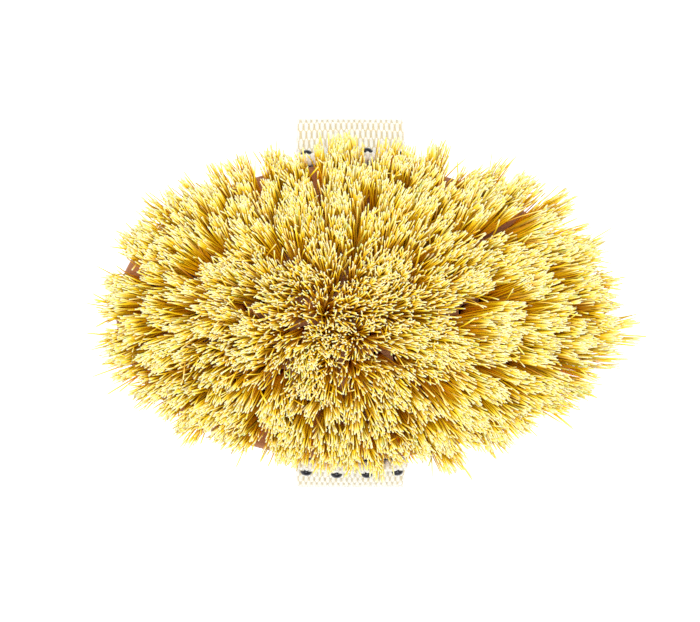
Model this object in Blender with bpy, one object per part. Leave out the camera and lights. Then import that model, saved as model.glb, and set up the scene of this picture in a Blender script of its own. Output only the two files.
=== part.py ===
"""Body dry brush: an oval wooden block set with rows of plant-fibre tufts and a webbing hand strap.

The brush lies on its strap with the bristles up. +X runs along the block, +Y across it and +Z up.
The origin is on the underside of the strap's crown, straight below the middle of the block.
"""

import math

import bmesh
import bpy
from mathutils import Matrix, Vector

# Wooden block
BLOCK_LENGTH = 0.128
BLOCK_WIDTH = 0.080
BLOCK_THICKNESS = 0.022
FACE_EDGE_RADIUS = 0.004
BACK_EDGE_RADIUS = 0.008
BLOCK_SIDES = 64
EDGE_STEPS = 4
ARC_STEPS = 1440

# Tufts: rings that follow the block's outline, with one straight row down the middle
RING_COUNT = 5
RIM_WIDTH = 0.0075
TUFT_SPACING = 0.0066
HOLE_DIAMETER = 0.0042
HOLE_DEPTH = 0.010
BRISTLE_LENGTH = 0.027
LEAN_AT_ENDS = math.radians(22)
LEAN_AT_SIDES = math.radians(18)
TUFT_SIDES = 6
TIP_OVERLAP = 1.16
TIP_SHARE_OF_ROW = 0.45
# The middle row ends where the innermost ring comes this close to it, as a share of the row pitch
MIDDLE_GAP_SHARE = 0.88

# Hand strap
STRAP_WIDTH = 0.030
STRAP_THICKNESS = 0.0018
HAND_GAP = 0.030
BULGE_BACK = 0.0155
BULGE_FRONT = 0.0090
CROWN_FLAT = 0.030
TAB_TOP_BELOW_EDGE = 0.0005
STRAP_COLUMNS = 7
LOOP_STEPS = 8

# Shape of the strap's loop, as shares of its drop from the tab to the crown
WIDEST_HEIGHT = 0.60
TAB_PULL = 0.07
UPPER_PULL = 0.16
LOWER_PULL = 0.36
# and of the run from its widest point in to the crown
CROWN_PULL = 0.62

# Tacks that hold each end of the strap
TACKS_PER_END = 4
TACK_EDGE_MARGIN = 0.003
TACK_HEIGHT = 0.0100
TACK_LENGTH = 0.0105
HEAD_DIAMETER = 0.0032
HEAD_HEIGHT = 0.0012
SHANK_DIAMETER = 0.0012
POINT_LENGTH = 0.003
POINT_DIAMETER = 0.0002
HEAD_TOP_DIAMETER = 0.0005
TACK_SIDES = 10

# Gap kept between pieces that touch or fit into each other
CLEARANCE = 0.0003
WELD_DISTANCE = 0.000001

BACK_Z = STRAP_THICKNESS + HAND_GAP
FACE_Z = BACK_Z + BLOCK_THICKNESS
SIDE_BOTTOM_Z = BACK_Z + BACK_EDGE_RADIUS
SIDE_TOP_Z = FACE_Z - FACE_EDGE_RADIUS
HALF_LENGTH = BLOCK_LENGTH / 2
HALF_WIDTH = BLOCK_WIDTH / 2
RING_HALF_LENGTH = HALF_LENGTH - RIM_WIDTH
RING_HALF_WIDTH = HALF_WIDTH - RIM_WIDTH
ROW_PITCH = RING_HALF_WIDTH / RING_COUNT

WOOD = ("wood", (0.62, 0.36, 0.19), 0.55, 0.0)
BRISTLE = ("bristle", (0.82, 0.62, 0.22), 0.60, 0.0)
WEBBING = ("webbing", (0.88, 0.85, 0.74), 0.90, 0.0)
BLUED_STEEL = ("blued_steel", (0.03, 0.03, 0.035), 0.35, 0.9)


def make_material(name, colour, roughness, metallic):
    material = bpy.data.materials.new(name)
    material.use_nodes = True
    shader = material.node_tree.nodes["Principled BSDF"]
    shader.inputs["Base Color"].default_value = (*colour, 1.0)
    shader.inputs["Roughness"].default_value = roughness
    shader.inputs["Metallic"].default_value = metallic
    return material


def add_object(name, shape, finish):
    """Turn a bmesh into a named object with its own material."""
    bmesh.ops.remove_doubles(shape, verts=shape.verts, dist=WELD_DISTANCE)
    bmesh.ops.recalc_face_normals(shape, faces=shape.faces)
    mesh = bpy.data.meshes.new(name)
    shape.to_mesh(mesh)
    shape.free()
    piece = bpy.data.objects.new(name, mesh)
    bpy.context.scene.collection.objects.link(piece)
    mesh.materials.append(make_material(f"{name}_{finish[0]}", *finish[1:]))
    return piece


def combine(piece, operand, operation):
    """Cut or join a temporary object into a piece and remove the temporary one."""
    modifier = piece.modifiers.new(operation.lower(), "BOOLEAN")
    modifier.operation = operation
    modifier.solver = "EXACT"
    modifier.object = operand
    with bpy.context.temp_override(object=piece, active_object=piece):
        bpy.ops.object.modifier_apply(modifier=modifier.name)
    bpy.data.objects.remove(operand)


def smooth(piece, degrees):
    piece.data.shade_smooth()
    piece.data.set_sharp_from_angle(angle=math.radians(degrees))


def add_sections(shape, sections):
    """Skin a stack of equal rings of points and close both ends."""
    rings = [[shape.verts.new(point) for point in section] for section in sections]
    count = len(rings[0])
    for low, high in zip(rings, rings[1:]):
        for i in range(count):
            k = (i + 1) % count
            shape.faces.new((low[i], low[k], high[k], high[i]))
    shape.faces.new(reversed(rings[0]))
    shape.faces.new(rings[-1])


def oval_point(half_length, half_width, angle):
    return Vector((half_length * math.cos(angle), half_width * math.sin(angle), 0.0))


def oval_section(half_length, half_width, height):
    """One level ring of the block's outline."""
    up = Vector((0.0, 0.0, height))
    turns = [2 * math.pi * i / BLOCK_SIDES for i in range(BLOCK_SIDES)]
    return [oval_point(half_length, half_width, turn) + up for turn in turns]


def side_point(x, sign):
    """The point of the block's long side at x, and the direction that the side faces there."""
    y = sign * HALF_WIDTH * math.sqrt(1 - (x / HALF_LENGTH) ** 2)
    outward = Vector((x / HALF_LENGTH**2, y / HALF_WIDTH**2, 0.0)).normalized()
    return Vector((x, y, 0.0)), outward


def even_angles(half_length, half_width, count, shift):
    """Angles that space points evenly along an oval, moved on by a share of one space."""
    turns = [2 * math.pi * i / ARC_STEPS for i in range(ARC_STEPS + 1)]
    points = [oval_point(half_length, half_width, turn) for turn in turns]
    travelled = [0.0]
    for a, b in zip(points, points[1:]):
        travelled.append(travelled[-1] + (b - a).length)
    angles = []
    step = 0
    for i in range(count):
        wanted = travelled[-1] * (i + shift) / count
        while travelled[step + 1] < wanted:
            step += 1
        part = (wanted - travelled[step]) / (travelled[step + 1] - travelled[step])
        angles.append(2 * math.pi * (step + part) / ARC_STEPS)
    return angles


def oval_girth(half_length, half_width):
    total = half_length + half_width
    h = ((half_length - half_width) / total) ** 2
    return math.pi * total * (1 + 3 * h / (10 + math.sqrt(4 - 3 * h)))


def tuft_frame(root, along):
    """Place and direction of a tuft: Z up its leaning axis, X along its row."""
    lean_x = root.x / RING_HALF_LENGTH * LEAN_AT_ENDS
    lean_y = root.y / RING_HALF_WIDTH * LEAN_AT_SIDES
    axis = Vector((math.tan(lean_x), math.tan(lean_y), 1.0)).normalized()
    across = axis.cross(along).normalized()
    frame = Matrix((across.cross(axis), across, axis)).transposed().to_4x4()
    frame.translation = root + Vector((0.0, 0.0, FACE_Z))
    return frame


def ring_row(ring):
    """Tufts of one ring, counted from the outside, each with the spacing to its neighbours."""
    half_length = RING_HALF_LENGTH - ring * ROW_PITCH
    half_width = RING_HALF_WIDTH - ring * ROW_PITCH
    count = 2 * round(oval_girth(half_length, half_width) / TUFT_SPACING / 2)
    shift = 0.5 if (RING_COUNT - ring) % 2 == 0 else 0.0
    angles = even_angles(half_length, half_width, count, shift)
    roots = [oval_point(half_length, half_width, angle) for angle in angles]
    tufts = []
    for i, root in enumerate(roots):
        before = root - roots[i - 1]
        after = roots[(i + 1) % count] - root
        spacing = (before.length + after.length) / 2
        tufts.append((tuft_frame(root, (before + after).normalized()), spacing))
    return tufts


def middle_row():
    """The straight row along the block's middle."""
    innermost = RING_HALF_LENGTH - (RING_COUNT - 1) * ROW_PITCH
    reach = innermost * math.sqrt(1 - MIDDLE_GAP_SHARE**2)
    gaps = round(2 * reach / TUFT_SPACING)
    spacing = 2 * reach / gaps
    roots = [Vector((-reach + spacing * i, 0.0, 0.0)) for i in range(gaps + 1)]
    return [(tuft_frame(root, Vector((1.0, 0.0, 0.0))), spacing) for root in roots]


def bundle_section(frame, half_along, half_across, height):
    """A flat-sided ring round a tuft's axis, measured to its flats along the row."""
    points = []
    for i in range(TUFT_SIDES):
        turn = 2 * math.pi * (i + 0.5) / TUFT_SIDES
        x = half_along * math.cos(turn) / math.cos(math.pi / TUFT_SIDES)
        points.append(frame @ Vector((x, half_across * math.sin(turn), height)))
    return points


def add_tuft(shape, frame, spacing):
    """A bundle that stands in its hole and opens towards the tips."""
    root = HOLE_DIAMETER / 2 - CLEARANCE
    spread = 1 + BRISTLE_LENGTH * LEAN_AT_SIDES / RING_HALF_WIDTH
    tip_along = TIP_OVERLAP * spacing * spread / 2
    tip_across = TIP_SHARE_OF_ROW * ROW_PITCH
    sections = [
        bundle_section(frame, root, root, CLEARANCE - HOLE_DEPTH),
        bundle_section(frame, root, root, 0.0),
        bundle_section(frame, tip_along, tip_across, BRISTLE_LENGTH),
    ]
    add_sections(shape, sections)


def make_row(name, tufts):
    """Every second tuft, joined with the ones between them where their tips meet."""
    halves = []
    for start in (0, 1):
        shape = bmesh.new()
        for frame, spacing in tufts[start::2]:
            add_tuft(shape, frame, spacing)
        halves.append(add_object(f"{name}_{start}", shape, BRISTLE))
    row, between = halves
    combine(row, between, "UNION")
    row.name = name
    smooth(row, 35)
    return row


def block_sections():
    """Rings from the back to the bristle face, with both edges rounded."""
    sections = []
    for radius, centre_z, start in (
        (BACK_EDGE_RADIUS, SIDE_BOTTOM_Z, -90),
        (FACE_EDGE_RADIUS, SIDE_TOP_Z, 0),
    ):
        for step in range(EDGE_STEPS + 1):
            turn = math.radians(start + 90 * step / EDGE_STEPS)
            inset = radius * (1 - math.cos(turn))
            height = centre_z + radius * math.sin(turn)
            sections.append(oval_section(HALF_LENGTH - inset, HALF_WIDTH - inset, height))
    return sections


def make_block(tufts, tacks):
    """The solid oval, drilled for every tuft and tack."""
    shape = bmesh.new()
    add_sections(shape, block_sections())
    block = add_object("block", shape, WOOD)
    holes = bmesh.new()
    hole = HOLE_DIAMETER / 2
    for frame in tufts:
        ends = (-HOLE_DEPTH, HOLE_DEPTH)
        add_sections(holes, [bundle_section(frame, hole, hole, height) for height in ends])
    for frame in tacks:
        add_tack_clearance(holes, frame)
    combine(block, add_object("holes", holes, WOOD), "DIFFERENCE")
    smooth(block, 35)


def bezier(a, b, c, d, steps):
    """Points of one curved stretch after its start."""
    points = []
    for i in range(1, steps + 1):
        t = i / steps
        u = 1 - t
        points.append(u**3 * a + 3 * u * u * t * b + 3 * u * t * t * c + t**3 * d)
    return points


def strap_half(bulge):
    """Middle line from the tab's top to the crown, as (outward, height), for one side.

    Each entry also says how closely it follows the block's curved side, from 1 to 0, and how
    thick the fold behind it is.
    """
    skin = STRAP_THICKNESS / 2
    tab_y = HALF_WIDTH + CLEARANCE + STRAP_THICKNESS + skin
    top = Vector((tab_y, SIDE_TOP_Z - TAB_TOP_BELOW_EDGE))
    bottom = Vector((tab_y, SIDE_BOTTOM_Z))
    fold_end = bottom + Vector((0.0, CLEARANCE))
    drop = SIDE_BOTTOM_Z - skin
    widest = Vector((HALF_WIDTH + bulge - skin, skin + WIDEST_HEIGHT * drop))
    crown = Vector((CROWN_FLAT / 2, skin))
    upper = bezier(
        bottom,
        bottom - Vector((0.0, TAB_PULL * drop)),
        widest + Vector((0.0, UPPER_PULL * drop)),
        widest,
        LOOP_STEPS,
    )
    lower = bezier(
        widest,
        widest - Vector((0.0, LOWER_PULL * drop)),
        crown + Vector((CROWN_PULL * (widest.x - crown.x), 0.0)),
        crown,
        LOOP_STEPS,
    )
    half = [(top, 1.0, STRAP_THICKNESS), (fold_end, 1.0, STRAP_THICKNESS), (bottom, 1.0, 0.0)]
    half += [(point, 1 - (i + 1) / LOOP_STEPS, 0.0) for i, point in enumerate(upper)]
    half += [(point, 0.0, 0.0) for point in lower]
    return half


def strap_stations():
    """The whole middle line, front end to back end, with the way each station faces."""
    front = [(Vector((-p.x, p.y)), follow, fold) for p, follow, fold in strap_half(BULGE_FRONT)]
    line = front + strap_half(BULGE_BACK)[::-1]
    stations = []
    for i, (point, follow, fold) in enumerate(line):
        before = line[max(i - 1, 0)][0]
        after = line[min(i + 1, len(line) - 1)][0]
        run = (after - before).normalized()
        if abs(point.x) <= CROWN_FLAT / 2:
            run = Vector((1.0, 0.0))
        elif follow == 1.0:
            run = Vector((0.0, math.copysign(1.0, point.x)))
        stations.append((point, Vector((run.y, -run.x)), follow, fold))
    return stations


def strap_section(station):
    """One ring round the strap: its outer face along +X, then its inner face back."""
    point, outward, follow, fold = station
    outer = []
    inner = []
    for column in range(STRAP_COLUMNS + 1):
        x = STRAP_WIDTH * (column / STRAP_COLUMNS - 0.5)
        side, _ = side_point(x, math.copysign(1.0, point.x))
        sag = follow * (side.y - math.copysign(HALF_WIDTH, point.x))
        for points, shift in ((outer, STRAP_THICKNESS / 2), (inner, -STRAP_THICKNESS / 2 - fold)):
            spot = point + shift * outward
            points.append(Vector((x, spot.x + sag, spot.y)))
    return outer + inner[::-1]


def tack_frames():
    """Both ends' tacks: origin on the block's side, Z pointing out of it."""
    frames = []
    reach = STRAP_WIDTH / 2 - TACK_EDGE_MARGIN
    for sign in (-1.0, 1.0):
        for i in range(TACKS_PER_END):
            x = reach * (2 * i / (TACKS_PER_END - 1) - 1)
            spot, outward = side_point(x, sign)
            frame = outward.to_track_quat("Z", "Y").to_matrix().to_4x4()
            frame.translation = spot + Vector((0.0, 0.0, BACK_Z + TACK_HEIGHT))
            frames.append(frame)
    return frames


def round_section(frame, radius, height):
    turns = [2 * math.pi * i / TACK_SIDES for i in range(TACK_SIDES)]
    return [frame @ Vector((radius * math.cos(t), radius * math.sin(t), height)) for t in turns]


def head_seat():
    """Height above the block's side at which a tack's head begins."""
    return CLEARANCE + 2 * STRAP_THICKNESS + CLEARANCE


def add_tack_clearance(shape, frame):
    """A straight hole for one shank, from beyond its head to below its point."""
    radius = SHANK_DIAMETER / 2 + CLEARANCE
    ends = (head_seat() - TACK_LENGTH - CLEARANCE, head_seat() + HEAD_HEIGHT)
    add_sections(shape, [round_section(frame, radius, height) for height in ends])


def make_strap(tacks):
    """One length of webbing with both ends folded under, holed where the tacks go through."""
    shape = bmesh.new()
    add_sections(shape, [strap_section(station) for station in strap_stations()])
    strap = add_object("hand_strap", shape, WEBBING)
    holes = bmesh.new()
    for frame in tacks:
        add_tack_clearance(holes, frame)
    combine(strap, add_object("holes", holes, WEBBING), "DIFFERENCE")
    smooth(strap, 35)


def make_tack(name, frame):
    """A domed head on a round shank with a tapered point."""
    shape = bmesh.new()
    seat = head_seat()
    shank = SHANK_DIAMETER / 2
    head = HEAD_DIAMETER / 2
    point = seat - TACK_LENGTH
    profile = (
        (POINT_DIAMETER / 2, point),
        (shank, point + POINT_LENGTH),
        (shank, seat),
        (head, seat),
        (0.92 * head, seat + 0.4 * HEAD_HEIGHT),
        (0.55 * head, seat + 0.85 * HEAD_HEIGHT),
        (HEAD_TOP_DIAMETER / 2, seat + HEAD_HEIGHT),
    )
    add_sections(shape, [round_section(frame, radius, height) for radius, height in profile])
    smooth(add_object(name, shape, BLUED_STEEL), 40)


def build():
    for item in list(bpy.data.objects):
        bpy.data.objects.remove(item)
    rows = [ring_row(ring) for ring in range(RING_COUNT)] + [middle_row()]
    tacks = tack_frames()
    make_block([frame for tufts in rows for frame, _ in tufts], tacks)
    for number, tufts in enumerate(rows, 1):
        make_row(f"bristle_row_{number}", tufts)
    make_strap(tacks)
    for number, frame in enumerate(tacks):
        end = "front" if number < TACKS_PER_END else "back"
        make_tack(f"tack_{end}_{number % TACKS_PER_END + 1}", frame)


build()
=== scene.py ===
import math

import bpy
import numpy as np
from mathutils import Matrix, Vector


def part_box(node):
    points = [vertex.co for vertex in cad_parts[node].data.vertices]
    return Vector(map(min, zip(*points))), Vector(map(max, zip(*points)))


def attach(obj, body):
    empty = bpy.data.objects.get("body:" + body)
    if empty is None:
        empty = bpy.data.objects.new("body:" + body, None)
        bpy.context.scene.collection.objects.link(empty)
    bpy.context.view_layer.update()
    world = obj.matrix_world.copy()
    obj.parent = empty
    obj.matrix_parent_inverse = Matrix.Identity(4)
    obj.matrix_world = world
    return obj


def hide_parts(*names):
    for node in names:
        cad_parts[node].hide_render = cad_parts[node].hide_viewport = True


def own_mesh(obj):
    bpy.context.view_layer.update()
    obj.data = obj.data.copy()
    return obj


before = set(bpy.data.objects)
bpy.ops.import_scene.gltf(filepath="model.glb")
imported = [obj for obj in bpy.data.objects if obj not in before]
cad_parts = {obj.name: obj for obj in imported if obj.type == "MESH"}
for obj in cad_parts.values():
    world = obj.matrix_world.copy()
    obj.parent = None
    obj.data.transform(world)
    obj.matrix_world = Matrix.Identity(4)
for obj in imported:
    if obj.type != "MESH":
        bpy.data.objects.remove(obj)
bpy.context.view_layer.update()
blockLow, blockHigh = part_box("block")
strapLow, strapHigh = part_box("hand_strap")
halfLength, halfWidth = blockHigh.x, blockHigh.y
faceZ, backZ = blockHigh.z, blockLow.z
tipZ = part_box("bristle_row_5")[1].z
gap = 0.0003  # between pieces that touch


# ---- small helpers ----

def deselect():
    bpy.ops.object.select_all(action="DESELECT")


def addObject(name, data):
    thing = bpy.data.objects.new(name, data)
    bpy.context.scene.collection.objects.link(thing)
    return thing


def unit(vectors):
    return vectors / np.linalg.norm(vectors, axis=-1, keepdims=True)


def pickEdges(piece, test):  # leaves the piece in edit mode with only those edges selected
    bpy.ops.object.mode_set(mode="EDIT")
    bpy.ops.mesh.select_mode(type="EDGE")
    bpy.ops.mesh.select_all(action="DESELECT")
    bpy.ops.object.mode_set(mode="OBJECT")
    points = [v.co for v in piece.data.vertices]
    for edge in piece.data.edges:
        edge.select = all(test(points[i]) for i in edge.vertices)
    bpy.ops.object.mode_set(mode="EDIT")


def finishPiece(piece, name, material, body, nodes=()):
    piece.name = piece.data.name = name
    piece.data.materials.clear()
    piece.data.materials.append(material)
    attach(piece, body)
    if nodes:
        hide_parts(*nodes)
    return piece


def meshPiece(name, points, corners, sizes, smooth):
    mesh = bpy.data.meshes.new(name)
    mesh.vertices.add(len(points))
    mesh.vertices.foreach_set("co", np.asarray(points, np.float32).ravel())
    mesh.loops.add(len(corners))
    mesh.loops.foreach_set("vertex_index", np.asarray(corners, np.int32))
    mesh.polygons.add(len(sizes))
    starts = np.concatenate([[0], np.cumsum(sizes)[:-1]])
    mesh.polygons.foreach_set("loop_start", starts.astype(np.int32))
    mesh.polygons.foreach_set("use_smooth", np.asarray(smooth, bool))
    mesh.update(calc_edges=True)
    mesh.validate()
    return addObject(name, mesh)


# ---- materials ----

def newMaterial(name, colour, roughness, **sockets):
    material = bpy.data.materials.new(name)
    material.use_nodes = True
    shader = material.node_tree.nodes["Principled BSDF"]
    shader.inputs["Base Color"].default_value = (*colour, 1)
    shader.inputs["Roughness"].default_value = roughness
    for socket, value in sockets.items():
        shader.inputs[socket.replace("_", " ")].default_value = value
    return material, material.node_tree, shader


def addNode(tree, kind, links=None, **values):
    node = tree.nodes.new("ShaderNode" + kind)
    for name, value in values.items():
        setattr(node, name, value)
    for socket, source in (links or {}).items():
        if isinstance(source, bpy.types.NodeSocket):
            tree.links.new(source, node.inputs[socket])
        else:
            node.inputs[socket].default_value = source
    return node


def colourRamp(tree, factor, stops):
    node = addNode(tree, "ValToRGB", {0: factor})
    ramp = node.color_ramp
    while len(ramp.elements) < len(stops):
        ramp.elements.new(0.5)
    for element, (place, colour) in zip(ramp.elements, stops):
        element.position = place
        element.color = (*colour, 1)
    return node.outputs[0]


def mixColour(tree, factor, a, b):
    node = addNode(tree, "Mix", {0: factor, 6: a, 7: (*b, 1)}, data_type="RGBA")
    return node.outputs[2]


def roughBetween(tree, shader, source, low, high):  # the middle of a mask, spread over a roughness range
    node = addNode(tree, "MapRange", {0: source, 1: 0.3, 2: 0.7, 3: low, 4: high})
    tree.links.new(node.outputs[0], shader.inputs["Roughness"])


def maths(tree, operation, a, b=0.0, c=0.0, clamp=False):
    node = addNode(tree, "Math", {0: a, 1: b, 2: c}, operation=operation, use_clamp=clamp)
    return node.outputs[0]


def bump(tree, shader, height, strength, distance):
    node = addNode(tree, "Bump", {"Height": height, "Strength": strength, "Distance": distance})
    tree.links.new(node.outputs[0], shader.inputs["Normal"])


def streakGroup():  # streaks stretched along X, shared by the wood and the steel
    group = bpy.data.node_groups.new("streaks", "ShaderNodeTree")
    for name, kind, start in (
        ("Coordinate", "NodeSocketVector", None),
        ("Scale", "NodeSocketFloat", 400.0),
        ("Stretch", "NodeSocketFloat", 0.05),
        ("Detail", "NodeSocketFloat", 4.0),
    ):
        socket = group.interface.new_socket(name, in_out="INPUT", socket_type=kind)
        if start is not None:
            socket.default_value = start
    group.interface.new_socket("Mask", in_out="OUTPUT", socket_type="NodeSocketFloat")
    start = group.nodes.new("NodeGroupInput")
    end = group.nodes.new("NodeGroupOutput")
    split = addNode(group, "SeparateXYZ", {0: start.outputs["Coordinate"]})
    along = maths(group, "MULTIPLY", split.outputs[0], start.outputs["Stretch"])
    joined = addNode(group, "CombineXYZ", {0: along, 1: split.outputs[1], 2: split.outputs[2]})
    noise = addNode(group, "TexNoise", {
        "Vector": joined.outputs[0], "Scale": start.outputs["Scale"],
        "Detail": start.outputs["Detail"], "Roughness": 0.6,
    })
    group.links.new(noise.outputs["Fac"], end.inputs["Mask"])
    return group


def streaks(tree, group, coordinate, scale, stretch, detail=4.0):
    node = addNode(tree, "Group", {
        "Coordinate": coordinate, "Scale": scale, "Stretch": stretch, "Detail": detail,
    }, node_tree=group)
    return node.outputs["Mask"]


woodLook = {
    "dark": (0.19, 0.062, 0.016), "middle": (0.33, 0.125, 0.042), "light": (0.45, 0.195, 0.085),
    "driftScale": 16.0, "wander": (0.004, 0.002, 0.003), "spread": (1, 0.3, 1),
    "grainScale": 560, "grainStretch": 0.028, "broadShare": 0.40, "stops": (0.36, 0.50, 0.64),
    "poreScale": 1250, "poreStretch": 0.03, "poreStops": (0.34, 0.43), "poreShare": 0.65,
    "poreDepth": 0.35, "roughness": 0.68, "roughRange": (0.58, 0.78),
}


def woodMaterial(group):
    look = woodLook
    material, tree, shader = newMaterial(
        "oiledWood", look["middle"], look["roughness"], Specular_IOR_Level=0.22)
    place = addNode(tree, "TexCoord").outputs["Object"]
    drift = addNode(tree, "TexNoise", {"Vector": place, "Scale": look["driftScale"], "Detail": 1.0})
    wander = addNode(tree, "VectorMath", {0: drift.outputs["Color"], 1: look["wander"]},
                     operation="MULTIPLY").outputs[0]
    bent = addNode(tree, "VectorMath", {0: place, 1: look["spread"], 2: wander},
                   operation="MULTIPLY_ADD").outputs[0]
    grain = streaks(tree, group, bent, look["grainScale"], look["grainStretch"])
    broad = streaks(tree, group, bent, look["grainScale"] / 5, look["grainStretch"], 2.0)
    pores = streaks(tree, group, place, look["poreScale"], look["poreStretch"], 2.0)
    fine = maths(tree, "MULTIPLY", grain, 1 - look["broadShare"])
    both = maths(tree, "MULTIPLY_ADD", broad, look["broadShare"], fine)
    shades = [look[name] for name in ("dark", "middle", "light")]
    colour = colourRamp(tree, both, list(zip(look["stops"], shades)))
    poreMask = colourRamp(tree, pores, list(zip(look["poreStops"], [(1, 1, 1), (0, 0, 0)])))
    poreShare = maths(tree, "MULTIPLY", poreMask, look["poreShare"])
    tree.links.new(mixColour(tree, poreShare, colour, look["dark"]), shader.inputs["Base Color"])
    roughBetween(tree, shader, grain, *look["roughRange"])
    height = maths(tree, "SUBTRACT", maths(tree, "MULTIPLY", grain, 0.4), poreMask)
    bump(tree, shader, height, look["poreDepth"], 0.0002)
    return material


# Colour along each fibre, root to tip: the darker, more orange lower part is painted shade for the depth of
# the tufts; the pale tips are the fibres' own colour.
fibreColoursAndShade = {
    "along": [
        (0.00, (0.93, 0.28, 0.002)), (0.35, (0.97, 0.40, 0.003)), (0.55, (0.97, 0.50, 0.004)),
        (0.72, (0.95, 0.59, 0.007)), (0.84, (0.88, 0.63, 0.022)), (0.93, (0.79, 0.69, 0.16)),
        (1.00, (0.75, 0.73, 0.45)),
    ],
    "cutEnd": (0.54, 0.52, 0.35), "cutFrom": 0.975, "columns": 96,
    "shift": (0.16, -0.08), "hue": (0.022, 0.489), "bright": (0.14, 0.88),
    "pale": (0.93, 0.88, 0.62), "paleShare": 0.22, "paleMix": 0.45, "palePower": 5.0,
    "green": (0.30, 0.42, 0.03), "greenShare": 0.012, "greenMix": 0.55,
    "brown": (0.26, 0.11, 0.02), "brownShare": 0.05, "brownMix": 0.60,
}


def fibreMaterial():
    look = fibreColoursAndShade
    material, tree, shader = newMaterial(
        "plantFibre", (0.8, 0.6, 0.2), 0.5, Specular_IOR_Level=0.15, Specular_Tint=(0.95, 0.70, 0.30, 1))
    flat = addNode(tree, "UVMap", uv_map="OFBake")
    split = addNode(tree, "SeparateXYZ", {0: flat.outputs[0]})
    column = maths(tree, "FLOOR", maths(tree, "MULTIPLY", split.outputs[0], look["columns"]))
    tone, kind = (
        addNode(tree, "TexWhiteNoise", {"W": number}, noise_dimensions="1D").outputs[0]
        for number in (column, maths(tree, "ADD", column, 500.5))
    )
    shift = maths(tree, "MULTIPLY_ADD", tone, *look["shift"])
    along = maths(tree, "ADD", split.outputs[1], shift, clamp=True)
    cut = maths(tree, "GREATER_THAN", split.outputs[1], look["cutFrom"])
    # Painted shade: the ramp darkens the fibre and turns it orange towards the root.
    colour = mixColour(tree, cut, colourRamp(tree, along, look["along"]), look["cutEnd"])
    varied = addNode(tree, "HueSaturation", {
        "Hue": maths(tree, "MULTIPLY_ADD", kind, *look["hue"]),
        "Value": maths(tree, "MULTIPLY_ADD", tone, *look["bright"]), "Saturation": 1.0, "Color": colour,
    }).outputs[0]
    # Pale fibres turn pale only near the tip, so their lower parts keep the painted shade.
    tipwards = maths(tree, "POWER", split.outputs[1], look["palePower"])
    for name, test, source, limit, share in (
        ("pale", "LESS_THAN", tone, look["paleShare"], maths(tree, "MULTIPLY", look["paleMix"], tipwards)),
        ("green", "LESS_THAN", kind, look["greenShare"], look["greenMix"]),
        ("brown", "GREATER_THAN", kind, 1 - look["brownShare"], look["brownMix"]),
    ):
        chosen = maths(tree, test, source, limit)
        varied = mixColour(tree, maths(tree, "MULTIPLY", chosen, share), varied, look[name])
    tree.links.new(varied, shader.inputs["Base Color"])
    return material


cottonLook = {"warp": (0.76, 0.74, 0.66), "warpShade": (0.68, 0.65, 0.55), "weft": (0.58, 0.48, 0.27)}


def cottonMaterial(name, light, shade):
    material, tree, shader = newMaterial(name, light, 0.92, Sheen_Weight=0.35, Sheen_Roughness=0.5)
    place = addNode(tree, "TexCoord").outputs["Object"]
    patches = addNode(tree, "TexNoise", {"Vector": place, "Scale": 900.0, "Detail": 3.0})
    twist = addNode(tree, "TexNoise", {"Vector": place, "Scale": 6500.0, "Detail": 2.0})
    colour = colourRamp(tree, patches.outputs["Fac"], [(0.35, shade), (0.60, light)])
    tree.links.new(colour, shader.inputs["Base Color"])
    roughBetween(tree, shader, twist.outputs["Fac"], 0.85, 1.0)
    bump(tree, shader, twist.outputs["Fac"], 0.5, 0.00012)
    return material


def steelMaterial(group):
    material, tree, shader = newMaterial("bluedSteel", (0.03, 0.03, 0.035), 0.35, Metallic=0.9)
    place = addNode(tree, "TexCoord").outputs["Object"]
    marks = streaks(tree, group, place, 1500.0, 0.3)
    colour = colourRamp(tree, marks, [(0.35, (0.012, 0.012, 0.016)), (0.65, (0.06, 0.06, 0.068))])
    tree.links.new(colour, shader.inputs["Base Color"])
    roughBetween(tree, shader, marks, 0.22, 0.48)
    return material


# ---- studio ----

studio = {
    "distance": 0.60, "viewWidth": 0.180, "stand": (-0.0200, -0.0150), "aim": (-0.0017, -0.0005),
    "world": 0.66, "keyPower": 11.6, "keySize": 0.3, "keyPlace": (-0.03, -0.01, 1.00),
    "floor": 4.0, "floorColour": (0.93, 0.93, 0.92), "floorGlow": 0.4,
}


def makeStudio():
    camera = bpy.data.cameras.new("camera")
    camera.sensor_width = 36
    camera.lens = camera.sensor_width * studio["distance"] / studio["viewWidth"]
    holder = addObject("camera", camera)
    holder.location = (*studio["stand"], tipZ + studio["distance"])
    back = (holder.location - Vector((*studio["aim"], tipZ))).normalized()
    right = Vector((0, 1, 0)).cross(back).normalized()
    holder.rotation_euler = Matrix((right, back.cross(right), back)).transposed().to_euler()
    bpy.context.scene.camera = holder

    key = bpy.data.lights.new("key", "AREA")
    key.energy, key.size = studio["keyPower"], studio["keySize"]
    lamp = addObject("key", key)
    lamp.location = studio["keyPlace"]
    lamp.rotation_euler = (-lamp.location).to_track_quat("-Z", "Y").to_euler()

    world = bpy.data.worlds.new("softRoom")
    world.use_nodes = True
    light = world.node_tree.nodes["Background"].inputs
    light["Color"].default_value = (1, 1, 1, 1)
    light["Strength"].default_value = studio["world"]
    bpy.context.scene.world = world
    bpy.context.scene.view_settings.view_transform = "Standard"

    deselect()
    bpy.ops.mesh.primitive_plane_add(size=studio["floor"], location=(0, 0, 0))
    floor = bpy.context.object
    floor.name = "floor"
    paint = newMaterial("paleFloor", studio["floorColour"], 0.9, Emission_Strength=studio["floorGlow"],
                        Emission_Color=(1, 1, 1, 1))[0]
    floor.data.materials.append(paint)
    print("studio ready")


# ---- where the tufts stand ----

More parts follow.
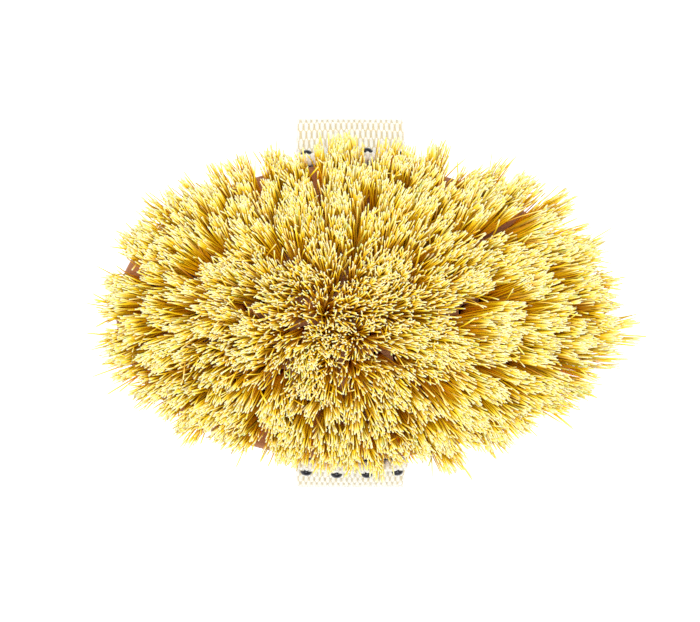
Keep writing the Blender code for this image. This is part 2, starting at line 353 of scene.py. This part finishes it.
tuftLayout = {
    "rings": 5, "rim": 0.0075, "spacing": 0.0066, "hole": 0.0042, "depth": 0.010,
    "endLean": math.radians(22), "sideLean": math.radians(18), "middleGapShare": 0.88,
}
ringLength, ringWidth = halfLength - tuftLayout["rim"], halfWidth - tuftLayout["rim"]


def ovalPoints(a, b, turns):
    return np.stack([a * np.cos(turns), b * np.sin(turns), np.zeros_like(turns)], 1)


def spacedOval(a, b, shift):  # evenly spaced points on an oval, and the direction along it
    turns = np.linspace(0, 2 * math.pi, 1441)
    steps = np.linalg.norm(np.diff(ovalPoints(a, b, turns), axis=0), axis=1)
    travelled = np.concatenate([[0], np.cumsum(steps)])
    count = 2 * round(travelled[-1] / tuftLayout["spacing"] / 2)
    wanted = travelled[-1] * (np.arange(count) + shift) / count
    turns = np.interp(wanted, travelled, turns)
    along = np.stack([-a * np.sin(turns), b * np.cos(turns), np.zeros_like(turns)], 1)
    return ovalPoints(a, b, turns), along


def tuftFrames(roots, along):  # root, row direction, across and axis of every tuft in a row
    leanX = np.tan(roots[:, 0] / ringLength * tuftLayout["endLean"])
    leanY = np.tan(roots[:, 1] / ringWidth * tuftLayout["sideLean"])
    axis = unit(np.stack([leanX, leanY, np.ones(len(roots))], 1))
    across = unit(np.cross(axis, along))
    return {"root": roots + [0, 0, faceZ], "along": np.cross(across, axis), "across": across, "axis": axis}


def tuftRows():  # the rings from the outermost in, and the middle row
    lay = tuftLayout
    pitch = ringWidth / lay["rings"]
    rows = []
    for ring in range(lay["rings"]):
        shift = 0.5 if (lay["rings"] - ring) % 2 == 0 else 0.0
        rows.append(tuftFrames(*spacedOval(ringLength - ring * pitch, ringWidth - ring * pitch, shift)))
    innermost = ringLength - (lay["rings"] - 1) * pitch
    reach = innermost * math.sqrt(1 - lay["middleGapShare"]**2)
    places = np.linspace(-reach, reach, round(2 * reach / lay["spacing"]) + 1)
    roots = np.stack([places, 0 * places, 0 * places], 1)
    rows.append(tuftFrames(roots, np.tile([1.0, 0, 0], (len(roots), 1))))
    return rows


# ---- wooden block ----

blockLook = {
    "sides": 160, "faceRadius": 0.004, "faceSteps": 6, "backRadius": 0.008, "backSteps": 9, "holeSides": 16,
}


def makeBlock(rows, material):
    look, size = blockLook, blockHigh - blockLow
    deselect()
    bpy.ops.mesh.primitive_cylinder_add(vertices=look["sides"], radius=0.5, depth=1)
    block = bpy.context.object
    bpy.ops.transform.resize(value=tuple(size))
    bpy.ops.transform.translate(value=tuple((blockLow + blockHigh) / 2))
    bpy.ops.object.transform_apply(location=True, rotation=True, scale=True)
    for height, radius, steps in (
        (blockHigh.z, look["faceRadius"], look["faceSteps"]),
        (blockLow.z, look["backRadius"], look["backSteps"]),
    ):
        pickEdges(block, lambda p: abs(p.z - height) < 1e-5)
        bpy.ops.mesh.bevel(offset=radius, segments=steps, profile=0.5, affect="EDGES")
        bpy.ops.object.mode_set(mode="OBJECT")
    deselect()
    drills = []
    for row in rows:
        for root, axis in zip(row["root"], row["axis"]):
            turn = Vector(axis).to_track_quat("Z", "Y").to_euler()
            bpy.ops.mesh.primitive_cylinder_add(
                vertices=look["holeSides"], radius=tuftLayout["hole"] / 2,
                depth=2 * tuftLayout["depth"], location=root, rotation=turn,
            )
            drills.append(bpy.context.object)
    deselect()
    for drill in drills:
        drill.select_set(True)
    bpy.context.view_layer.objects.active = drills[0]
    bpy.ops.object.join()
    cut = block.modifiers.new("holes", "BOOLEAN")
    cut.operation, cut.object, cut.solver = "DIFFERENCE", drills[0], "EXACT"
    bpy.context.view_layer.objects.active = block
    bpy.ops.object.modifier_apply(modifier=cut.name)
    bpy.data.objects.remove(drills[0])
    deselect()
    block.select_set(True)
    bpy.context.view_layer.objects.active = block
    bpy.ops.object.shade_smooth_by_angle(angle=math.radians(30))
    finishPiece(block, "woodBlock", material, "brush", ["block"])
    print("block ready")


# ---- bristles ----

bristleLook = {
    "perTuft": 94, "perMiddleTuft": 130, "tuftsPerPiece": 36, "seed": 11,
    "width": 0.00043, "thickness": 0.00034, "sizes": (0.75, 1.2), "taper": 0.12, "swell": 0.05,
    "steps": 5, "sides": 5, "rootDepth": 0.003, "fill": 0.0019, "fillJitter": 0.00006,
    "tipSpread": [(0.0, 0.0082), (0.3, 0.0068), (0.5, 0.0052), (0.9, 0.0047)],
    "shape": (1.08, 0.88), "spreadChange": 0.20, "opensFrom": 0.08, "opensPower": 1.15,
    "fan": [(0.0, 0.006), (0.3, 0.0105), (0.6, 0.0060), (1.0, 0.0)],
    "brushed": (0.028, 0.007), "tuftLean": 0.055,
    "clumps": 4, "clumpSpread": 0.55, "clumpPull": 0.60, "clumpShare": [(0.1, 0.3), (0.6, 1.0)],
    "clumpChange": (0.3, 1.2), "strayChange": (0.3, 1.0), "middleWithin": 0.55,
    "tipWander": 0.0006, "bow": 0.0005,
    "strays": [(0.0, 0.16), (0.45, 0.12), (0.65, 0.06)], "strayReach": 0.0056, "strayPower": 2.4,
    "shorts": 0.07, "shortBy": (0.001, 0.007), "tipDrop": 0.0022, "tipJitter": 0.00045,
    "aslant": 0.45,
}
goldenTurn = 2.39996  # from one fibre to the next, which fills a hole evenly
fullTurn = 6.28  # for random directions


def modelFibre():  # one straight fibre of unit size, with rings to bend it at
    look = bristleLook
    deselect()
    bpy.ops.mesh.primitive_cylinder_add(vertices=look["sides"], radius=1, depth=1, location=(0, 0, 0.5))
    bpy.ops.object.transform_apply(location=True)
    bpy.ops.object.mode_set(mode="EDIT")
    for step in range(1, look["steps"]):
        bpy.ops.mesh.select_all(action="SELECT")
        bpy.ops.mesh.bisect(plane_co=(0, 0, step / look["steps"]), plane_no=(0, 0, 1))
    bpy.ops.object.mode_set(mode="OBJECT")
    fibre = bpy.context.object
    points = np.array([v.co for v in fibre.data.vertices])
    faces = [list(p.vertices) for p in fibre.data.polygons]
    bpy.data.objects.remove(fibre)
    return points, faces


def fibreMap(points, faces):  # flat map of one fibre: across its column, and root to tip
    corners = []
    for face in faces:
        middle = points[face].mean(0)
        for i in face:
            x, y, z = points[i]
            if np.ptp(points[face][:, 2]) < 1e-6:  # a cut end, in a strip above or below the sides
                corners.append((0.5 + 0.3 * x, 0.988 + 0.008 * y if z > 0.5 else 0.006 + 0.004 * y))
                continue
            turn = math.atan2(middle[1], middle[0]) % (2 * math.pi)
            off = (math.atan2(y, x) - turn + math.pi) % (2 * math.pi) - math.pi
            corners.append((0.1 + 0.8 * (turn + off) / (2 * math.pi), 0.012 + 0.95 * z))
    return np.array(corners)


def growRow(rng, row):  # middle lines of the row's fibres as (fibre, step, xyz), and their half sizes
    look = bristleLook
    outness = np.linalg.norm(row["root"][:, :2] / [halfLength, halfWidth], axis=1)
    innermost = outness.max() < look["middleWithin"]
    tufts, each = len(row["root"]), look["perMiddleTuft" if innermost else "perTuft"]
    total = tufts * each

    def perFibre(name):
        return np.repeat(row[name], each, axis=0)

    ranks = np.tile(np.arange(each) + 0.5, tufts)
    radius = np.sqrt(ranks / each) * look["fill"]
    turn = ranks * goldenTurn + np.repeat(rng.uniform(0, fullTurn, tufts), each)
    spot = np.stack([radius * np.cos(turn), radius * np.sin(turn)], 1)
    spot += rng.normal(0, look["fillJitter"], spot.shape)
    spread = np.interp(outness, *zip(*look["tipSpread"]))
    spread *= 1 + look["spreadChange"] * rng.uniform(-1, 1, tufts)
    tip = spot * np.repeat(spread / look["fill"], each)[:, None] * look["shape"]
    # The fibres of one tuft draw together in a few clumps.
    clumps = rng.normal(0, look["clumpSpread"], (tufts, look["clumps"], 2)) * spread[:, None, None]
    own = clumps[np.repeat(np.arange(tufts), each)]
    pull = np.repeat(look["clumpPull"] * np.interp(outness, *zip(*look["clumpShare"])), each)
    nearest = np.linalg.norm(own - tip[:, None], axis=2).argmin(1)
    pull = pull[:, None] * rng.uniform(*look["clumpChange"], (total, 1))
    tip += (own[np.arange(total), nearest] - tip) * pull
    tip += rng.normal(0, look["tipWander"], tip.shape)
    lean = np.repeat(rng.normal(0, look["tuftLean"], (tufts, 2)), each, axis=0)
    share = row["root"][:, :2] / [ringLength, ringWidth]
    fan = np.interp(np.linalg.norm(share, axis=1), *zip(*look["fan"]))
    push = look["brushed"] + share * fan[:, None] / (tipZ - faceZ)
    push = np.repeat(np.column_stack([push, np.zeros(tufts)]), each, axis=0)
    root = perFibre("root") - perFibre("axis") * look["rootDepth"]
    reach = perFibre("root")[:, :2] / [halfLength, halfWidth]
    top = tipZ - look["tipDrop"] * (reach**2).sum(1) + rng.normal(0, look["tipJitter"], total)
    short = rng.random(total) < look["shorts"]
    top -= short * rng.uniform(*look["shortBy"], total)
    length = (top - root[:, 2]) / perFibre("axis")[:, 2]
    tip += lean * length[:, None]
    stray = rng.random(total) < np.repeat(np.interp(outness, *zip(*look["strays"])), each)
    way = rng.uniform(0, fullTurn, total)
    far = stray * rng.uniform(*look["strayChange"], total) * look["strayReach"]
    bow = rng.normal(0, look["bow"], (total, 2))

    t = np.linspace(0, 1, look["steps"] + 1)[None, :, None]
    up, along, across = (perFibre(n)[:, None] for n in ("axis", "along", "across"))
    opening = np.maximum(t - look["opensFrom"], 0) / (1 - look["opensFrom"])
    side = spot[:, None] + (tip - spot)[:, None] * opening**look["opensPower"]
    side = side + bow[:, None] * np.sin(math.pi * t)
    side = side + np.stack([far * np.cos(way), far * np.sin(way)], 1)[:, None] * t**look["strayPower"]
    line = root[:, None] + (up + push[:, None]) * length[:, None, None] * t
    line = line + along * side[..., :1] + across * side[..., 1:]
    line[..., 2] += (top - line[:, -1, 2])[:, None] * t[..., 0]  # all are trimmed to one level
    sizes = rng.uniform(*look["sizes"], total)
    return line, sizes * look["width"] / 2, sizes * look["thickness"] / 2


def bendFibres(rng, name, template, line, wide, thick):  # one copy of the fibre along every line
    look = bristleLook
    points, faces, uv = template
    count, steps = line.shape[:2]
    level = np.rint(points[:, 2] * (steps - 1)).astype(int)
    run = unit(np.gradient(line, axis=1))
    roll = rng.uniform(0, fullTurn, count)
    first = np.stack([np.cos(roll), np.sin(roll), np.zeros(count)], 1)[:, None]
    first = unit(first - run * (first * run).sum(2, keepdims=True))
    second = np.cross(run, first)
    swell = 1 - look["taper"] * np.linspace(0, 1, steps) + rng.normal(0, look["swell"], (count, steps))
    across = (wide[:, None] * swell)[:, level, None] * points[:, 0][None, :, None]
    through = (thick[:, None] * swell)[:, level, None] * points[:, 1][None, :, None]
    made = line[:, level] + first[:, level] * across + second[:, level] * through
    slant = rng.normal(0, look["aslant"], (count, 1)) * wide[:, None] * points[:, 0][None]
    slant *= level == steps - 1
    made += run[:, level] * slant[..., None]
    corners = np.concatenate([np.array(face) for face in faces])
    corners = (corners[None] + np.arange(count)[:, None] * len(points)).ravel()
    sizes = np.tile([len(face) for face in faces], count)
    ends = np.array([np.ptp(points[face][:, 2]) < 1e-6 for face in faces])
    piece = meshPiece(name, made.reshape(-1, 3), corners, sizes, np.tile(~ends, count))
    column = rng.integers(0, fibreColoursAndShade["columns"], count)
    flat = np.tile(uv, (count, 1))
    flat[:, 0] = (flat[:, 0] + np.repeat(column, len(uv))) / fibreColoursAndShade["columns"]
    layer = piece.data.uv_layers.new(name="OFBake")
    layer.data.foreach_set("uv", flat.astype(np.float32).ravel())
    return piece


def makeBristles(rows, material):
    rng = np.random.default_rng(bristleLook["seed"])
    points, faces = modelFibre()
    template = points, faces, fibreMap(points, faces)
    for number, row in enumerate(rows, 1):
        tufts = len(row["root"])
        parts = math.ceil(tufts / bristleLook["tuftsPerPiece"])
        for part, chosen in enumerate(np.array_split(np.arange(tufts), parts)):
            line, wide, thick = growRow(rng, {key: vectors[chosen] for key, vectors in row.items()})
            name = f"bristles{number}" + "ab"[part] * (parts > 1)
            piece = bendFibres(rng, name, template, line, wide, thick)
            finishPiece(piece, name, material, "brush", [f"bristle_row_{number}"])
    print("bristles ready")


# ---- woven hand strap ----

strapLook = {
    "thickness": 0.0018, "crownFlat": 0.030, "tabBelowEdge": 0.0005,
    "widest": 0.60, "tabPull": 0.07, "upperPull": 0.16, "lowerPull": 0.36, "crownPull": 0.62,
    "foldSteps": 8, "curveSteps": 60, "yarns": 40, "rowLength": 0.0037, "lift": 0.00042,
    "yarnHalf": 0.00057, "neckHalf": 0.00037, "yarnThick": 0.00042, "yarnSides": 6,
    "yarnSteps": (0, 0.13, 0.32, 0.5, 0.68, 0.87), "archPower": 0.55, "edgeShare": 0.7,
    "rowJitter": 0.02, "yarnJitter": 0.03,
    "core": 0.0005, "coreInset": 0.0003, "coreStep": 0.0012, "coreColumns": 10, "seed": 5,
}
strapWidth = strapHigh.x - strapLow.x


def sideReach(x, sign):
    return sign * halfWidth * np.sqrt(1 - (np.asarray(x) / halfLength) ** 2)


def bezier(points, steps):
    t = np.linspace(0, 1, steps + 1)[1:, None]
    a, b, c, d = (np.array(p) for p in points)
    return (1 - t)**3 * a + 3 * (1 - t)**2 * t * b + 3 * (1 - t) * t**2 * c + t**3 * d


def halfStrap(bulge):
    # Middle line of one side from the end of its folded hem to the crown, as rows of
    # (outward, height, how closely it follows the block's curve), and where its tab ends.
    look = strapLook
    skin, thick = look["thickness"] / 2, look["thickness"]
    inner = halfWidth + gap + skin
    outer = inner + thick
    top = blockHigh.z - blockLook["faceRadius"] - look["tabBelowEdge"] - skin
    bottom = backZ + blockLook["backRadius"]
    drop = bottom - skin
    turns = np.linspace(math.pi, 0, look["foldSteps"] + 1)
    fold = np.stack([(inner + outer) / 2 + skin * np.cos(turns), top + skin * np.sin(turns)], 1)
    widest = np.array([halfWidth + bulge - skin, skin + look["widest"] * drop])
    crown = np.array([look["crownFlat"] / 2, skin])
    start = np.array([outer, bottom])
    upper = bezier([
        start, start - [0, look["tabPull"] * drop], widest + [0, look["upperPull"] * drop], widest,
    ], look["curveSteps"])
    lower = bezier([
        widest, widest - [0, look["lowerPull"] * drop],
        crown + [look["crownPull"] * (widest[0] - crown[0]), 0], crown,
    ], look["curveSteps"])
    tab = np.concatenate([[[inner, bottom + gap]], fold, [start]])
    line = np.concatenate([tab, upper, lower])
    follow = np.concatenate([np.ones(len(tab)), np.linspace(1, 0, len(upper) + 1)[1:], np.zeros(len(lower))])
    return np.column_stack([line, follow]), len(tab)


def strapLine():
    # The whole middle line from front hem to back hem, and how far along each tab meets the loop.
    front, tab = halfStrap(-strapLow.y - halfWidth)
    back, _ = halfStrap(strapHigh.y - halfWidth)
    front[:, 0] *= -1
    line = np.concatenate([front, back[::-1]])
    length = np.concatenate([[0], np.cumsum(np.linalg.norm(np.diff(line[:, :2], axis=0), axis=1))])
    return line, length, length[tab - 1], length[len(line) - tab]


def strapPlace(path, s, x):
    # Middle point and outward normal at distance s along the strap, at width x.
    line, length = path
    y, z, follow = (np.interp(s, length, line[:, i]) for i in range(3))
    step = 0.0004
    ahead, behind = np.minimum(s + step, length[-1]), np.maximum(s - step, 0)
    outward, rise = (
        np.interp(ahead, length, line[:, i]) - np.interp(behind, length, line[:, i]) for i in range(2)
    )
    normal = unit(np.stack([0 * s, rise, -outward], 1))
    sag = follow * (sideReach(x, np.sign(y)) - np.sign(y) * halfWidth)
    return np.stack([0 * s + x, y + sag, z], 1), normal


def tubeFaces(rings, sides):  # a closed tube: corner numbers and face sizes
    ring, side = np.meshgrid(np.arange(rings - 1), np.arange(sides), indexing="ij")
    low, after = ring * sides, (side + 1) % sides
    quads = np.stack([low + side, low + after, low + sides + after, low + sides + side], 2).reshape(-1)
    caps = np.concatenate([np.arange(sides)[::-1], (rings - 1) * sides + np.arange(sides)])
    return np.concatenate([quads, caps]), np.concatenate([np.full((rings - 1) * sides, 4), [sides, sides]])


def makeYarns(name, path, start, end):
    look = strapLook
    rng = np.random.default_rng(look["seed"])
    rows = np.arange(math.floor(start / look["rowLength"]), math.ceil(end / look["rowLength"]) + 1)
    s = ((rows[:, None] + look["yarnSteps"]) * look["rowLength"]).ravel()
    s = np.concatenate([[start], s[(s > start + 1e-5) & (s < end - 1e-5)], [end]])
    turns = 2 * math.pi * np.arange(look["yarnSides"]) / look["yarnSides"]
    pitch = strapWidth / look["yarns"]
    points, corners = [], []
    tube, tubeSizes = tubeFaces(len(s), look["yarnSides"])
    for yarn in range(look["yarns"]):
        x = -strapWidth / 2 + pitch * (yarn + 0.5)
        row = s / look["rowLength"] + rng.normal(0, look["rowJitter"])
        arch = np.abs(np.sin(math.pi * row)) ** look["archPower"]
        face = np.where((np.floor(row).astype(int) + yarn) % 2 == 0, 1.0, -1.0)
        middle, normal = strapPlace(path, s, x)
        edge = 1 if 0 < yarn < look["yarns"] - 1 else look["edgeShare"]
        wide = (look["neckHalf"] + (look["yarnHalf"] - look["neckHalf"]) * arch) * edge
        wide = wide * (1 + rng.normal(0, look["yarnJitter"], len(s)))
        lift = face * arch * look["lift"] * (1 + rng.normal(0, look["yarnJitter"], len(s)))
        centre = middle + normal * lift[:, None]
        ring = centre[:, None] + normal[:, None] * np.sin(turns)[None, :, None] * look["yarnThick"]
        ring[:, :, 0] += wide[:, None] * np.cos(turns)[None]
        points.append(ring.reshape(-1, 3))
        corners.append(tube + yarn * len(points[0]))
    sizes = np.tile(tubeSizes, look["yarns"])
    return meshPiece(name, np.concatenate(points), np.concatenate(corners), sizes, sizes == 4)


def makeCore(name, path, start, end):  # the weft in the middle of the webbing, a thin band
    look = strapLook
    count = max(3, round((end - start) / look["coreStep"]))
    s = np.linspace(start, end, count)
    half = strapWidth / 2 - look["coreInset"]
    across = np.linspace(-half, half, look["coreColumns"] + 1)
    rings = []
    for side in (1, -1):
        for x in across[::side]:
            middle, normal = strapPlace(path, s, x)
            rings.append(middle + side * normal * look["core"] / 2)
    points = np.stack(rings[::-1], 1)
    corners, sizes = tubeFaces(count, points.shape[1])
    return meshPiece(name, points.reshape(-1, 3), corners, sizes, np.zeros(len(sizes), bool))


def makeStrap(warp, weft):
    *path, tabEnd, tabStart = strapLine()
    total = path[1][-1]
    loop = makeYarns("strapLoopYarns", path, tabEnd, tabStart)
    core = makeCore("strapLoopCore", path, tabEnd, tabStart)
    for piece, material in ((loop, warp), (core, weft)):
        finishPiece(piece, piece.name, material, "strap", ["hand_strap"])
        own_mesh(piece)
    for side, start, end in (("Front", 0.0, tabEnd), ("Back", tabStart, total)):
        for maker, kind, material in ((makeYarns, "Yarns", warp), (makeCore, "Core", weft)):
            piece = maker(f"strapTab{side}{kind}", path, start, end)
            finishPiece(piece, piece.name, material, "brush")
    print(f"strap ready, {1000 * total:.1f} mm long")


# ---- tacks ----

tackLook = {
    "perEnd": 4, "margin": 0.003, "height": 0.0100, "length": 0.0105, "head": 0.0016,
    "headHeight": 0.0012, "shank": 0.0006, "point": 0.003, "sides": 24, "turn": 0.7,
}


def modelTack():  # a turned tack along Z, its seat at 0
    look = tackLook
    head, tall, shank = look["head"], look["headHeight"], look["shank"]
    profile = [
        (0.0001, -look["length"]), (shank * 0.55, -look["length"] + look["point"] / 2),
        (shank, -look["length"] + look["point"]), (shank, 0.0), (head * 0.96, 0.0), (head, tall * 0.10),
        (head * 0.97, tall * 0.30), (head * 0.85, tall * 0.58), (head * 0.62, tall * 0.82),
        (head * 0.34, tall * 0.95), (head * 0.08, tall),
    ]
    deselect()
    radius, height = profile[0]
    bpy.ops.mesh.primitive_circle_add(
        vertices=look["sides"], radius=radius, fill_type="NGON", location=(0, 0, height))
    bpy.ops.object.transform_apply(location=True)
    bpy.ops.object.mode_set(mode="EDIT")
    bpy.ops.mesh.select_mode(type="FACE")
    bpy.ops.mesh.select_all(action="SELECT")
    for nextRadius, nextHeight in profile[1:]:
        bpy.ops.mesh.extrude_region_move(TRANSFORM_OT_translate={"value": (0, 0, nextHeight - height)})
        share = nextRadius / radius
        bpy.ops.transform.resize(value=(share, share, 1))
        radius, height = nextRadius, nextHeight
    bpy.ops.mesh.select_all(action="SELECT")
    bpy.ops.mesh.normals_make_consistent(inside=False)
    bpy.ops.object.mode_set(mode="OBJECT")
    bpy.ops.object.shade_smooth_by_angle(angle=math.radians(40))
    return bpy.context.object


def makeTacks(material):
    look = tackLook
    model = modelTack()
    reach = strapWidth / 2 - look["margin"]
    seat = 2 * strapLook["thickness"] + 2 * gap
    for sign, end in ((-1, "front"), (1, "back")):
        for i, x in enumerate(np.linspace(-reach, reach, look["perEnd"]), 1):
            y = float(sideReach(x, sign))
            outward = Vector((x / halfLength**2, y / halfWidth**2, 0)).normalized()
            place = outward.to_track_quat("Z", "Y").to_matrix().to_4x4()
            place.translation = Vector((x, y, backZ + look["height"])) + outward * seat
            tack = addObject(f"tack{end.title()}{i}", model.data.copy())
            tack.data.transform(place @ Matrix.Rotation(look["turn"] * i, 4, "Z"))
            finishPiece(tack, tack.name, material, "brush", [f"tack_{end}_{i}"])
    bpy.data.objects.remove(model)
    print("tacks ready")


makeStudio()
grain = streakGroup()
rows = tuftRows()
makeBlock(rows, woodMaterial(grain))
makeBristles(rows, fibreMaterial())
makeStrap(
    cottonMaterial("cottonWarp", cottonLook["warp"], cottonLook["warpShade"]),
    cottonMaterial("cottonWeft", cottonLook["weft"], cottonLook["weft"]),
)
makeTacks(steelMaterial(grain))
